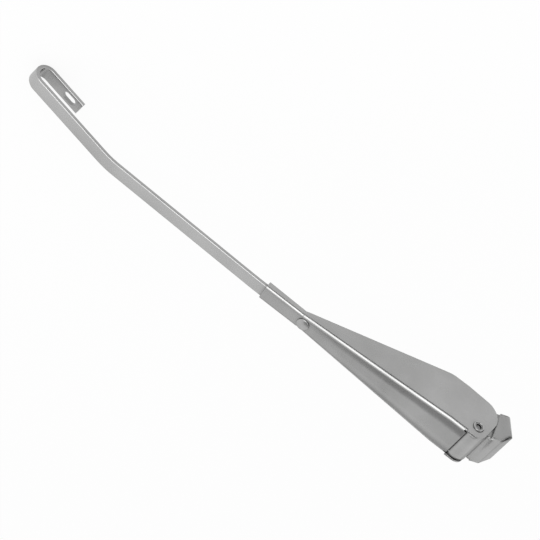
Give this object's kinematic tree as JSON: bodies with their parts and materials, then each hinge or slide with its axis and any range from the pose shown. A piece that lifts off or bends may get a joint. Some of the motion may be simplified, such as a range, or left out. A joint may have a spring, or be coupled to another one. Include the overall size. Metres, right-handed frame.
{
  "type": "windscreen wiper arm",
  "caption": "Stainless windscreen wiper arm: a capped head on a spindle bore, a hinged sheet channel with an inner tension spring, and a flat strip bent edgewise into a slotted blade hook.",
  "frame": {"origin": "spindle axis at the mounting face of the head", "axes": "+X along the arm from the spindle to the hook, +Z out of the head's top, away from the windscreen, -Y the side to which the strip is bent"},
  "size_m": [0.2785, 0.0335, 0.1438],
  "materials": {
    "stainless_sheet": "satin",
    "stainless_pin": "turned",
    "cast_zinc": "as cast",
    "spring_steel": "oiled wire"
  },
  "bodies": {
    "head": {"head_cover": "stainless_sheet", "spindle_boss": "cast_zinc", "retaining_clip": "spring_steel", "spring_anchor_pin": "stainless_pin"},
    "arm": {"arm_channel": "stainless_sheet", "blade_strip": "stainless_sheet", "strip_rivet": "stainless_pin", "hinge_pin": "stainless_pin", "tension_spring": "spring_steel"}
  },
  "joints": [
    {"name": "arm_lift", "type": "hinge", "parent": "head", "child": "arm", "pos_m": [0.012, 0, 0.013], "axis": [0, -1, 0], "range_deg": [0, 115], "stiffness_Nm_per_rad": 0.4, "springref_deg": -143.24, "deforming": ["tension_spring"]}
  ]
}
